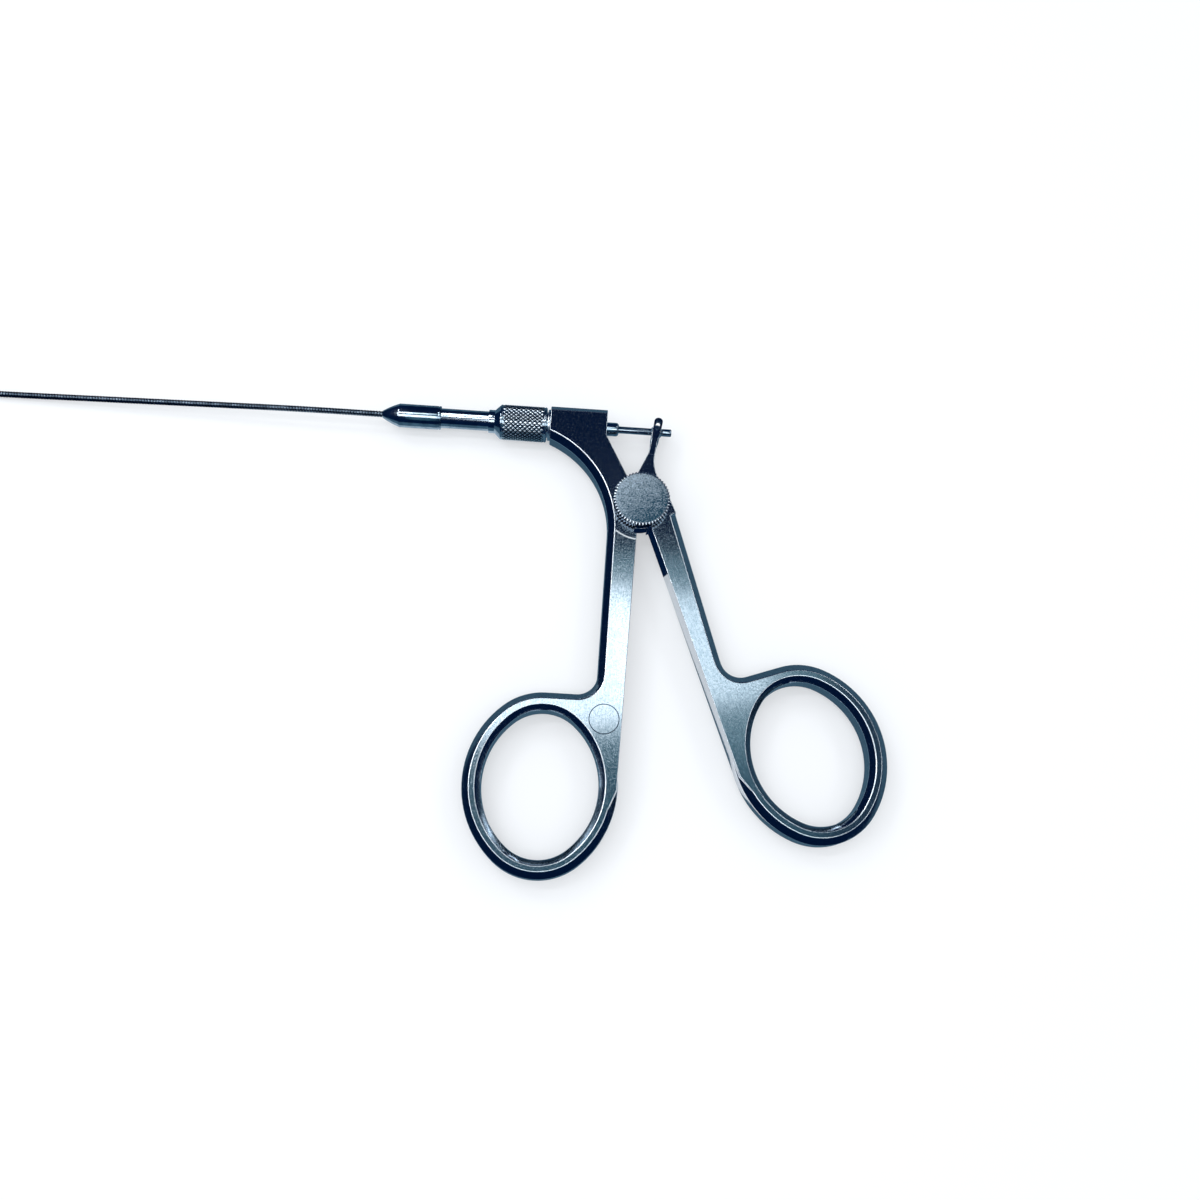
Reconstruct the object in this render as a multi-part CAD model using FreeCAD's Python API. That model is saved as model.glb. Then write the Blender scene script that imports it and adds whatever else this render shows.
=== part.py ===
# Ring-handled grasping forceps with a flexible coil shaft, lying flat. Millimetres.
# +X runs along the barrel towards the handles, +Y is the side of the barrel, +Z is up.
# The origin is the handles' pivot axis on their flat underside.
import FreeCAD, Part
import math
import os
from FreeCAD import Vector

# Handles
thickness = 6.0            # both handles, flat face to flat face
axis_offset = 16.3         # pivot to barrel axis
leg_root_y = 4.0           # where a leg's outline starts, below the pivot
leg_end_y = 34.0           # where a leg reaches its ring shoulder
fixed_root_width = 5.95
fixed_end_width = 5.35
moving_root_width = 5.9
moving_end_width = 4.2
leg_inset = 0.3            # inner edge stands back this much at the root
fixed_leg_angle = -2.0     # inner edge from straight down, degrees
moving_leg_angle = 21.6
ring_centre_x = 14.1       # finger ring centre from the leg's inner edge
ring_centre_y = 56.1       # and from the pivot
hole_half_width = 10.9
hole_half_height = 13.7
hole_end_radius = 8.5
ring_bar = 3.5             # width of the ring's bar
ring_toe = 2.0             # the ring's long axis against its leg, degrees
runout_x = 3.0             # where the leg's square inner edge runs out into the ring's bevel
shoulder_fillet = 3.8
outer_bevel = 1.3          # leg, arm and ring outer edges
hole_bevel = 1.1
edge_break = 0.15          # small chamfer on turned edges

# Head of the fixed handle, which carries the barrel
head_front_x = -18.7
head_rear_x = -7.4
head_half_height = 3.3     # above the barrel axis
head_corner_y = 13.7       # where the rear face starts to slope to the pivot
head_foot_x = -3.0
head_foot_y = 5.6
arm_radius = 20.3          # outer curve from the leg to the head
arm_start = 6.2            # where it leaves the leg, below the pivot
head_bevel = 1.1

# Half-lap joint and pivot
lap_gap = 0.10             # between the two half-thick tongues
tongue_radius = 4.3
tongue_side_gap = 0.35     # between a tongue's rim and the other handle
shank_radius = 2.0
thread_radius = 1.7
thread_end_z = 0.3
run_clearance = 0.05       # radial, pin in bore
knob_radius = 5.5
knob_height = 2.4
knob_teeth = 53
knob_tooth_depth = 0.22
knob_face_bevel = 0.35
washer_radius = 4.2
washer_height = 0.35
washer_gap = 0.05

# Moving handle's lever, a fork round the ball of the pull rod
lever_angle = 9.06         # from the pivot's perpendicular to the rod, degrees
closing_angle = 12.0
lever_thickness = 4.8
lever_root_half = 2.4
lever_root_y = 4.0
lever_neck_half = 0.65
lever_neck_y = 10.5
prong_half_width = 0.85
prong_start_y = 15.3
fork_floor_y = 14.6
fork_gap = 2.8
pin_radius = 0.3
pin_slot_clearance = 0.1
slot_spare = 0.1
tip_wall = 0.7

# Pull rod
rod_radius = 0.7
ball_radius = 1.3
bead_steps = 6             # the ball is turned in flat bands, with flat ends for rod and tail
tail_radius = 0.75
tail_length = 1.7          # beyond the ball
ball_bore_clearance = 0.02
rod_front_x = -43.0

# Rear bush, threaded spigot, coupling nut
bush_radius = 1.35
bush_stand = 2.4
bush_depth = 3.0
bush_bevel = 0.35
seat_clearance = 0.02      # radial, pressed or soldered seats
spigot_radius = 2.5
spigot_depth = 5.0
spigot_length = 7.2
spigot_bore_radius = 1.1
collar_ring_radius = 3.1
collar_ring_length = 0.5
nut_gap = 0.2
nut_radius = 3.5
nut_length = 9.2
nut_cone_length = 1.2
nut_nose_radius = 2.3
nut_nose_length = 1.2
nut_chamfer = 0.3
flange_radius = 2.45
flange_length = 1.0
seal_length = 0.7
seal_bore_radius = 0.8

# Barrel
rear_barrel_radius = 1.95
front_barrel_radius = 2.35
rear_barrel_length = 9.6   # from the nut's nose to the front barrel
front_barrel_length = 8.2
nose_length = 3.4
nose_tip_radius = 0.95
barrel_bore_radius = 1.15
sheath_seat_length = 4.6

# Coil sheath and wire
sheath_radius = 0.62
sheath_bore_radius = 0.43
wire_radius = 0.15
rest_drop = 2.7            # the shaft comes down this far to lie on the table
drop_length = 62.0
working_length = 340.0     # nose of the barrel to the tips of the jaws
clamp_radius = 0.9
clamp_length = 3.2

# Working end
ferrule_wall = 0.16        # the end ferrule and the jaws' housing stand this proud of the coil's seat
head_radius = sheath_radius + seat_clearance + ferrule_wall
jaw_reach = 9.6            # jaw pivot to jaw tip
jaw_open_angle = 16.0      # each jaw, from closed
pin_start = 1.0            # jaw pivot to drive pin, jaws open
drive_pin_radius = 0.125
cam_clearance = 0.04
cam_wall = 0.13
cam_steps = 5
jaw_pin_radius = 0.2
jaw_pin_clearance = 0.03
tail_inner_z = 0.13        # a jaw's flat tail lies between these two heights
tail_outer_z = 0.37
tail_low_half = 0.3
cheek_slot_half = 0.41
cheek_round = 0.78
jaw_heel_radius = 0.88
jaw_disc_radius = 0.62
jaw_mate_gap = 0.015       # each jaw's flat from the middle plane
jaw_taper_start = 6.6
jaw_tooth_pitch = 0.7
jaw_tooth_depth = 0.2
jaw_tooth_count = 10
jaw_tooth_start = 1.5
tongue_half_thick = 0.1
tongue_half_width = 0.26
tongue_length = 5.6
slide_bore_radius = 0.42
slot_end = 6.2
groove_start = 6.6         # a relief groove parts the clevis from the round neck
groove_end = 7.2
groove_radius = 0.6
slide_bore_end = 10.2
ferrule_length = 2.2

# Worked out
mid = thickness / 2.0
lean = math.radians(lever_angle)
swing = math.radians(lever_angle + closing_angle)
ball_x = axis_offset * math.tan(lean)
travel = axis_offset * math.tan(swing) - ball_x
slot_near = axis_offset / math.cos(lean)
slot_far = axis_offset / math.cos(swing)
washer_z = thickness + washer_gap
knob_z = washer_z + washer_height + washer_gap
ring_front_x = head_front_x - collar_ring_length
nut_rear_x = ring_front_x - nut_gap
nut_front_x = nut_rear_x - nut_length
nut_cone_x = nut_front_x - nut_cone_length
nose_face_x = nut_cone_x - nut_nose_length
spigot_end_x = head_front_x - spigot_length
flange_rear_x = spigot_end_x - seal_length
flange_front_x = flange_rear_x - flange_length
front_barrel_x = nose_face_x - rear_barrel_length
nose_base_x = front_barrel_x - front_barrel_length
nose_tip_x = nose_base_x - nose_length
sheath_start_x = nose_tip_x + sheath_seat_length
jaw_tip_x = nose_tip_x - working_length
jaw_x = jaw_tip_x + jaw_reach
housing_rear_x = jaw_x + slide_bore_end + 1.6
sheath_end_x = jaw_x + slide_bore_end + run_clearance
shaft_z = mid - rest_drop
drop_start_x = nose_tip_x - 16.0
UP = Vector(0, 0, 1)
X = Vector(1, 0, 0)
Y = Vector(0, 1, 0)


def polygon(points, low, high):
    """A prism between two heights, over a closed plan outline."""
    corners = [Vector(x, y, low) for x, y in points]
    face = Part.Face(Part.makePolygon(corners + corners[:1]))
    return face.extrude(Vector(0, 0, high - low))


def turned_point(x, y, angle):
    """A plan point turned about the pivot."""
    spin = math.radians(angle)
    return Vector(x * math.cos(spin) - y * math.sin(spin), x * math.sin(spin) + y * math.cos(spin), 0)


def disc(radius, low, high, x=0.0, y=0.0):
    """An upright cylinder."""
    return Part.makeCylinder(radius, high - low, Vector(x, y, low), UP)


def turned(profile, y, z):
    """A solid turned about a line along X. The profile is (x, radius) pairs from one end to the other."""
    points = [Vector(x, y + r, z) for x, r in profile]
    points.insert(0, Vector(profile[0][0], y, z))
    points.append(Vector(profile[-1][0], y, z))
    face = Part.Face(Part.makePolygon(points + points[:1]))
    return face.revolve(Vector(0, y, z), X, 360)


def rod(radius, x_low, x_high, y=axis_offset, z=mid):
    """A round bar along X."""
    return Part.makeCylinder(radius, x_high - x_low, Vector(x_low, y, z), X)


def oval(grow):
    """A finger hole's outline, grown all round, as a full-thickness solid: two end arcs and two side arcs."""
    width = hole_half_width + grow
    height = hole_half_height + grow
    end = hole_end_radius + grow
    side = (width ** 2 + (height - end) ** 2 - end ** 2) / (2.0 * (width - end))
    spread = math.atan2(side - width, height - end)
    join_x = end * math.sin(spread)
    join_y = height - end + end * math.cos(spread)
    edges = []
    for sign in (1, -1):
        across = Vector(sign * join_x, sign * join_y, 0)
        back = Vector(-sign * join_x, sign * join_y, 0)
        edges.append(Part.Arc(across, Vector(0, sign * height, 0), back).toShape())
        low_join = Vector(-sign * join_x, -sign * join_y, 0)
        edges.append(Part.Arc(back, Vector(-sign * width, 0, 0), low_join).toShape())
    face = Part.Face(Part.Wire(Part.__sortEdges__(edges)))
    return face.extrude(Vector(0, 0, thickness))


def save(shape, name):
    """Check one sub-part and write it."""
    solids = shape.Solids
    whole = solids[0] if len(solids) == 1 else Part.makeCompound(solids)
    print(name, len(solids), "solid", round(whole.Volume, 3), "mm3", "valid" if whole.isValid() else "BROKEN")
    whole.exportStep("parts/" + name + ".step")


def bevel(shape, size, wanted):
    """Chamfer the flat-face edges that the test picks."""
    edges = []
    for edge in shape.Edges:
        box = edge.BoundBox
        flat = box.ZLength < 0.001
        outside = box.ZMin < 0.001 or box.ZMax > thickness - 0.001
        if flat and outside and wanted(edge.valueAt((edge.FirstParameter + edge.LastParameter) / 2.0)):
            edges.append(edge)
    return shape.makeChamfer(size, edges)


def leg_and_ring(root_y, root_width, end_width):
    """A leg with its finger ring, before it is turned into place. The inner edge runs down -Y at x = 0."""
    outer_half_height = hole_half_height + ring_bar
    centre = Vector(-ring_centre_x, -ring_centre_y, 0)
    leg = polygon([(-leg_inset, -root_y), (-root_width, -root_y), (-end_width, -leg_end_y),
                   (-end_width, -ring_centre_y), (-end_width, -ring_centre_y - hole_half_height * 0.6),
                   (-runout_x, -ring_centre_y - hole_half_height * 0.6), (0, -ring_centre_y)], 0, thickness)
    shoulder = polygon([(-ring_centre_x, 0), (-ring_centre_x, outer_half_height),
                        (-end_width / 2, outer_half_height), (-end_width / 2, 0)], 0, thickness)
    shoulder.translate(Vector(0, -ring_centre_y, 0))
    ring = oval(ring_bar)
    ring.translate(centre)
    for piece in (shoulder, ring):
        piece.rotate(centre, UP, ring_toe)
    arm = leg.fuse(shoulder).removeSplitter()
    corner = [e for e in arm.Edges if e.BoundBox.ZLength > thickness - 0.1
              and abs(e.valueAt(0).x + end_width) < 0.8
              and abs(e.valueAt(0).y + ring_centre_y - outer_half_height) < 2.0]
    arm = arm.makeFillet(shoulder_fillet, corner)

    def on_outer_line(point):
        below_top = -ring_centre_y + outer_half_height - 1.0
        return point.x < -leg_inset - 0.5 and below_top < point.y < -root_y - 0.5

    arm = bevel(arm, outer_bevel, on_outer_line)
    ring = bevel(ring, outer_bevel, lambda point: True)
    hole = oval(0)
    hole.translate(centre)
    hole.rotate(centre, UP, ring_toe)
    body = arm.fuse(ring).cut(hole)

    def on_hole(point):
        across = (point.x - centre.x) / hole_half_width
        along = (point.y - centre.y) / hole_half_height
        return math.hypot(across, along) < 1.0 + 0.5 * hole_bevel / hole_half_width

    return bevel(body, hole_bevel, on_hole)


def fixed_handle():
    """The lower half of the lap joint, with the arm and head that hold the barrel."""
    body = leg_and_ring(arm_start, fixed_root_width, fixed_end_width)
    body.rotate(Vector(0, 0, 0), UP, fixed_leg_angle)
    start = turned_point(-fixed_root_width, -arm_start, fixed_leg_angle)
    centre_x = start.x - arm_radius
    arc_end_y = start.y + math.sqrt(arm_radius ** 2 - (head_front_x - centre_x) ** 2)
    middle = math.asin((arc_end_y - start.y) / arm_radius) / 2
    via = Vector(centre_x + arm_radius * math.cos(middle), start.y + arm_radius * math.sin(middle), 0)
    end = Vector(head_front_x, arc_end_y, 0)
    head_top = axis_offset + head_half_height
    corners = [end, Vector(head_front_x, head_top, 0), Vector(head_rear_x, head_top, 0),
               Vector(head_rear_x, head_corner_y, 0), Vector(head_foot_x, head_foot_y, 0),
               Vector(0, 0, 0), Vector(-leg_inset - 1.0, start.y - 1.0, 0), start]
    edges = [Part.Arc(start, via, end).toShape()]
    for here, there in zip(corners, corners[1:]):
        edges.append(Part.LineSegment(here, there).toShape())
    head = Part.Face(Part.Wire(edges)).extrude(Vector(0, 0, thickness))

    def on_arc(point):
        return abs(math.hypot(point.x - centre_x, point.y - start.y) - arm_radius) < 0.1

    head = bevel(head, outer_bevel, on_arc)
    head = bevel(head, head_bevel, lambda point: abs(point.y - head_top) < 0.01)
    body = body.fuse([head, disc(tongue_radius, 0, thickness)])
    lap = disc(tongue_radius + tongue_side_gap, mid - lap_gap / 2, thickness + 1)
    bores = [rod(spigot_radius + seat_clearance, head_front_x - 1, head_front_x + spigot_depth),
             rod(bush_radius + seat_clearance, head_front_x, head_rear_x + 1),
             disc(thread_radius + run_clearance, -1, thickness)]
    return body.cut([lap] + bores).removeSplitter()


def moving_handle():
    """The upper half of the lap joint, with the forked lever that works the pull rod."""
    body = leg_and_ring(leg_root_y, moving_root_width, moving_end_width)
    body = body.mirror(Vector(0, 0, 0), X)
    body.rotate(Vector(0, 0, 0), UP, moving_leg_angle)
    root = turned_point(moving_root_width, -leg_root_y, moving_leg_angle)
    along = Vector(math.sin(lean), math.cos(lean), 0)
    side = Vector(math.cos(lean), -math.sin(lean), 0)

    def at(reach, out):
        return along * reach + side * out

    neck = at(lever_neck_y, lever_neck_half)
    foot = at(lever_root_y, lever_root_half + 1.7)
    bend = at(lever_root_y + 2.9, lever_neck_half + 0.95)
    edges = [Part.Arc(neck, bend, foot).toShape()]
    chain = [foot, root, Vector(1.6, -leg_root_y - 0.6, 0), Vector(0, 0, 0),
             at(lever_root_y, -lever_root_half), at(lever_neck_y, -lever_neck_half), neck]
    for here, there in zip(chain, chain[1:]):
        edges.append(Part.LineSegment(here, there).toShape())
    root_plate = Part.Face(Part.Wire(edges)).extrude(Vector(0, 0, thickness))
    tip_y = slot_far + slot_spare + pin_radius + pin_slot_clearance + tip_wall
    low = mid - lever_thickness / 2
    outline = [(lever_neck_y - 0.5, -lever_neck_half), (fork_floor_y - 0.8, -lever_neck_half),
               (prong_start_y, -prong_half_width), (tip_y, -prong_half_width),
               (tip_y, prong_half_width), (prong_start_y, prong_half_width),
               (fork_floor_y - 0.8, lever_neck_half), (lever_neck_y - 0.5, lever_neck_half)]
    lever = polygon([(at(r, s).x, at(r, s).y) for r, s in outline], low, low + lever_thickness)
    tips = [e for e in lever.Edges if e.BoundBox.ZLength > 1.0
            and math.hypot(e.valueAt(0).x, e.valueAt(0).y) > tip_y - 0.05]
    lever = lever.makeFillet(prong_half_width * 0.95, tips)
    body = body.fuse([root_plate, lever, disc(tongue_radius, 0, thickness)]).removeSplitter()
    gap = Part.makeBox(6, 6, fork_gap, Vector(-3, fork_floor_y, mid - fork_gap / 2))
    slot_half = pin_radius + pin_slot_clearance
    slot = Part.makeBox(2 * slot_half, slot_far - slot_near + 2 * slot_spare, thickness + 2,
                        Vector(-slot_half, slot_near - slot_spare, -1))
    slot = slot.fuse([disc(slot_half, -1, thickness + 1, 0, slot_near - slot_spare),
                      disc(slot_half, -1, thickness + 1, 0, slot_far + slot_spare)])
    for cutter in (gap, slot):
        cutter.rotate(Vector(0, 0, 0), UP, -lever_angle)
    lap = disc(tongue_radius + tongue_side_gap, -1, mid + lap_gap / 2)
    bore = disc(shank_radius + run_clearance, -1, thickness + 1)
    return body.cut([gap, slot, lap, bore])


def pivot_screw():
    """The knurled thumb screw. Its shank is the handles' axle, and its thread holds in the lower tongue."""
    points = []
    for tooth in range(knob_teeth):
        for step, radius in ((0.0, knob_radius), (0.5, knob_radius - knob_tooth_depth)):
            turn = 2 * math.pi * (tooth + step) / knob_teeth
            points.append((radius * math.cos(turn), radius * math.sin(turn)))
    rim_top = knob_z + knob_height - knob_face_bevel
    rim = polygon(points, knob_z, rim_top)
    root_radius = knob_radius - knob_tooth_depth
    face = Part.makeCone(root_radius, root_radius - knob_face_bevel, knob_face_bevel,
                         Vector(0, 0, rim_top), UP)
    shank = disc(shank_radius, mid - lap_gap / 2 + run_clearance, knob_z)
    thread = disc(thread_radius, thread_end_z, mid)
    return rim.fuse([face, shank, thread]).removeSplitter()


def ring_washer(outer, inner, low, high):
    """A flat washer round the pivot."""
    return disc(outer, low, high).cut(disc(inner, low - 1, high + 1))


def tube_along(radius, start_x, end_x):
    """A round bar from the barrel: level, down to the table, then level again, with mitred joints."""
    corners = [(start_x, mid), (drop_start_x, mid), (drop_start_x - drop_length, shaft_z), (end_x, shaft_z)]
    path = Part.makePolygon([Vector(x, axis_offset, z) for x, z in corners])
    end = Part.Wire([Part.Circle(Vector(start_x, axis_offset, mid), X, radius).toShape()])
    return path.makePipeShell([end], True, True, 1)


def cam_point(distance, out):
    """A point of a jaw's cam slot, in the closed jaw's own place, at an offset from its middle line."""
    angle = math.radians(jaw_open_angle) * (pin_start + travel - distance) / travel
    slope = -math.radians(jaw_open_angle) / travel
    along = Vector(math.cos(angle) - distance * slope * math.sin(angle),
                   math.sin(angle) + distance * slope * math.cos(angle), 0).normalize()
    side = Vector(-along.y, along.x, 0)
    return Vector(distance * math.cos(angle), distance * math.sin(angle), 0) + side * out


def cam_slot(half):
    """The slot that the drive pin rides in, as straight lengths with round ends."""
    reach = [pin_start + travel * step / cam_steps for step in range(cam_steps + 1)]
    outline = [cam_point(d, half) for d in reach] + [cam_point(d, -half) for d in reversed(reach)]
    body = polygon([(p.x, p.y) for p in outline], -2, 2)
    ends = [cam_point(reach[0], 0), cam_point(reach[-1], 0)]
    return body.fuse([disc(half, -2, 2, p.x, p.y) for p in ends]).removeSplitter()


def jaw():
    """The jaw on the +Y side, closed, with its pivot at the origin and its axis along X."""
    nose = jaw_reach - jaw_taper_start
    bar = turned([(0, head_radius), (-jaw_taper_start, head_radius),
                  (-jaw_reach + nose * 0.3, head_radius * 0.72), (-jaw_reach, head_radius * 0.3)], 0, 0)
    half = Part.makeBox(2 * jaw_reach, 2, 4, Vector(-2 * jaw_reach, jaw_mate_gap, -2))
    bar = bar.common(half).cut(disc(jaw_heel_radius, -2, 2))
    for tooth in range(jaw_tooth_count):
        x = -jaw_tooth_start - tooth * jaw_tooth_pitch
        notch = polygon([(x - jaw_tooth_pitch / 2, jaw_mate_gap), (x, jaw_mate_gap + jaw_tooth_depth),
                         (x + jaw_tooth_pitch / 2, jaw_mate_gap)], -2, 2)
        bar = bar.cut(notch)
    web = polygon([(-jaw_heel_radius - 0.4, jaw_mate_gap), (0, jaw_mate_gap), (0, jaw_disc_radius),
                   (-jaw_heel_radius - 0.4, jaw_disc_radius)], tail_inner_z, tail_outer_z)
    high = max(cam_point(pin_start + travel * step / cam_steps, 0).y for step in range(cam_steps + 1))
    slot_half = drive_pin_radius + cam_clearance
    end_x = pin_start + travel + slot_half + cam_wall
    tail = polygon([(0, -tail_low_half), (end_x, -tail_low_half), (end_x, slot_half + cam_wall),
                    (end_x / 2, high + slot_half + cam_wall), (0, jaw_disc_radius)],
                   tail_inner_z, tail_outer_z)
    body = bar.fuse([web, tail, disc(jaw_disc_radius, tail_inner_z, tail_outer_z)])
    bore = disc(jaw_pin_radius + jaw_pin_clearance, -2, 2)
    return body.cut([cam_slot(slot_half), bore]).removeSplitter()


def jaw_housing():
    """The clevis at the end of the shaft: two cheeks for the jaw pin and a bore for the sliding tongue."""
    body = rod(head_radius, jaw_x, housing_rear_x, axis_offset, shaft_z)
    cheek = disc(cheek_round, shaft_z - 2, shaft_z + 2, jaw_x, axis_offset)
    round_end = rod(head_radius, jaw_x - 2, jaw_x, axis_offset, shaft_z).common(cheek)
    body = body.fuse(round_end)
    slot = Part.makeBox(slot_end + 3, 4, 2 * cheek_slot_half, Vector(jaw_x - 3, axis_offset - 2,
                                                                    shaft_z - cheek_slot_half))
    groove = rod(head_radius + 1, jaw_x + groove_start, jaw_x + groove_end, axis_offset, shaft_z)
    groove = groove.cut(rod(groove_radius, jaw_x, housing_rear_x, axis_offset, shaft_z))
    bore = rod(slide_bore_radius, jaw_x, housing_rear_x + 1, axis_offset, shaft_z)
    seat = rod(sheath_radius + seat_clearance, jaw_x + slide_bore_end, housing_rear_x + 1,
               axis_offset, shaft_z)
    hole = disc(jaw_pin_radius + seat_clearance, shaft_z - 2, shaft_z + 2, jaw_x, axis_offset)
    return body.cut([slot, groove, bore, seat, hole]).removeSplitter()


def coupling_nut():
    """The hand-tightened nut: it pulls the barrel's flange against the spigot."""
    outside = turned([(nut_rear_x, nut_radius - nut_chamfer), (nut_rear_x - nut_chamfer, nut_radius),
                      (nut_front_x, nut_radius), (nut_cone_x, nut_nose_radius),
                      (nose_face_x, nut_nose_radius)], axis_offset, mid)
    thread = rod(spigot_radius + run_clearance, flange_front_x - run_clearance, nut_rear_x + 1)
    throat = rod(rear_barrel_radius + run_clearance, nose_face_x - 1, nut_rear_x)
    return outside.cut([thread, throat])


def barrels():
    """The rear barrel with its flange, and the front barrel with its bullet nose."""
    rear = turned([(flange_rear_x, flange_radius), (flange_front_x, flange_radius),
                   (flange_front_x, rear_barrel_radius),
                   (front_barrel_x + seat_clearance, rear_barrel_radius)],
                  axis_offset, mid)
    rear = rear.cut(rod(barrel_bore_radius, front_barrel_x - 1, flange_rear_x + 1))
    nose = [(nose_tip_x + nose_length * part,
             nose_tip_radius + (front_barrel_radius - nose_tip_radius) * math.sin(part * math.pi / 2))
            for part in (0.0, 0.4, 1.0)]
    front = turned(nose + [(front_barrel_x, front_barrel_radius)], axis_offset, mid)
    front = front.cut([rod(barrel_bore_radius, sheath_start_x + seat_clearance, front_barrel_x + 1),
                       rod(sheath_radius + seat_clearance, nose_tip_x - 1, sheath_start_x + 1)])
    return rear, front


def hollow(radius, bore, x_low, x_high, z=mid):
    """A plain sleeve along X."""
    return rod(radius, x_low, x_high, axis_offset, z).cut(rod(bore, x_low - 1, x_high + 1, axis_offset, z))


os.makedirs("parts", exist_ok=True)
save(fixed_handle(), "fixed_handle")
save(moving_handle(), "moving_handle")
save(pivot_screw(), "pivot_screw")
save(ring_washer(washer_radius, shank_radius + run_clearance, washer_z, washer_z + washer_height),
     "pivot_washer")

save(hollow(spigot_radius, spigot_bore_radius, spigot_end_x, head_front_x + spigot_depth), "threaded_spigot")
save(hollow(collar_ring_radius, spigot_radius + seat_clearance, ring_front_x, head_front_x), "seat_ring")
save(coupling_nut(), "coupling_nut")
save(hollow(flange_radius - 0.25, seal_bore_radius, flange_rear_x, spigot_end_x), "shaft_seal")

rear_barrel, front_barrel = barrels()
save(rear_barrel, "rear_barrel")
save(front_barrel, "front_barrel")

bush = turned([(head_rear_x - bush_depth, bush_radius), (head_rear_x + bush_stand - bush_bevel, bush_radius),
               (head_rear_x + bush_stand, bush_radius - bush_bevel)], axis_offset, mid)
save(bush.cut(rod(rod_radius + run_clearance, head_rear_x - bush_depth - 1, head_rear_x + bush_stand + 1)),
     "rear_bush")

flat = math.asin(tail_radius / ball_radius)
bead = [flat + (math.pi - 2 * flat) * step / bead_steps for step in range(bead_steps + 1)]
flat_x = ball_radius * math.cos(flat)
save(rod(rod_radius, rod_front_x, ball_x - flat_x), "pull_rod")
ball = turned([(ball_x - ball_radius * math.cos(a), ball_radius * math.sin(a)) for a in bead],
              axis_offset, mid)
save(ball.cut(disc(pin_radius + ball_bore_clearance, 0, thickness, ball_x, axis_offset)), "rod_ball")
end_x = ball_x + ball_radius + tail_length
save(turned([(ball_x + flat_x, tail_radius), (end_x - edge_break, tail_radius),
             (end_x, tail_radius - edge_break)], axis_offset, mid), "rod_tail")
pin_low = mid - lever_thickness / 2
save(disc(pin_radius, pin_low, pin_low + lever_thickness, ball_x, axis_offset), "cross_pin")
clamp_x = rod_front_x - clamp_length
save(rod(clamp_radius, clamp_x, rod_front_x), "wire_clamp")

sheath = tube_along(sheath_radius, sheath_start_x, sheath_end_x)
save(sheath.cut(tube_along(sheath_bore_radius, sheath_start_x + 1, sheath_end_x - 1)), "coil_sheath")
tongue_x = jaw_x + pin_start - drive_pin_radius * 2
tongue_rear_x = tongue_x + tongue_length
save(tube_along(wire_radius, clamp_x, tongue_rear_x), "pull_wire")

tongue = Part.makeBox(tongue_length, 2 * tongue_half_width, 2 * tongue_half_thick,
                      Vector(tongue_x, axis_offset - tongue_half_width, shaft_z - tongue_half_thick))
pin_x = jaw_x + pin_start
pin_hole = disc(drive_pin_radius + 0.01, shaft_z - 1, shaft_z + 1, pin_x, axis_offset)
save(tongue.cut(pin_hole), "drive_tongue")
save(disc(drive_pin_radius, shaft_z - tail_outer_z, shaft_z + tail_outer_z, pin_x, axis_offset), "drive_pin")

save(jaw_housing(), "jaw_housing")
save(disc(jaw_pin_radius, shaft_z - head_radius + 0.02, shaft_z + head_radius - 0.02, jaw_x, axis_offset),
     "jaw_pin")
save(hollow(head_radius, sheath_radius + seat_clearance, housing_rear_x, housing_rear_x + ferrule_length,
            shaft_z), "end_ferrule")

for name, flip, side in (("upper_jaw", 0, -1), ("lower_jaw", 180, 1)):
    piece = jaw()
    piece.rotate(Vector(0, 0, 0), X, flip)
    piece.rotate(Vector(0, 0, 0), UP, side * jaw_open_angle)
    piece.translate(Vector(jaw_x, axis_offset, shaft_z))
    save(piece, name)

print("rod travel", round(travel, 4), "ratio", round(travel / closing_angle, 6), "mm per degree")
print("jaw ratio", round(jaw_open_angle / closing_angle, 6))
print("jaw pivot x", round(jaw_x, 4), "z", round(shaft_z, 4))
print("ball x", round(ball_x, 4), "knob top", round(knob_z + knob_height, 3))
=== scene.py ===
# %% [markdown]
# # Ring-handled forceps with a flexible coil shaft
# The whole object is polished and satin steel, so the lesson is mostly about edges and reflections: where
# an edge is rounded, what a flat face mirrors, and how turned, knurled and wound pieces break up the light.
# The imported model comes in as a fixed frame. Lengths below are written in millimetres and turned to metres.

# %% Load the frame
import math

import bmesh
import bpy
from mathutils import Matrix, Vector


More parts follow.
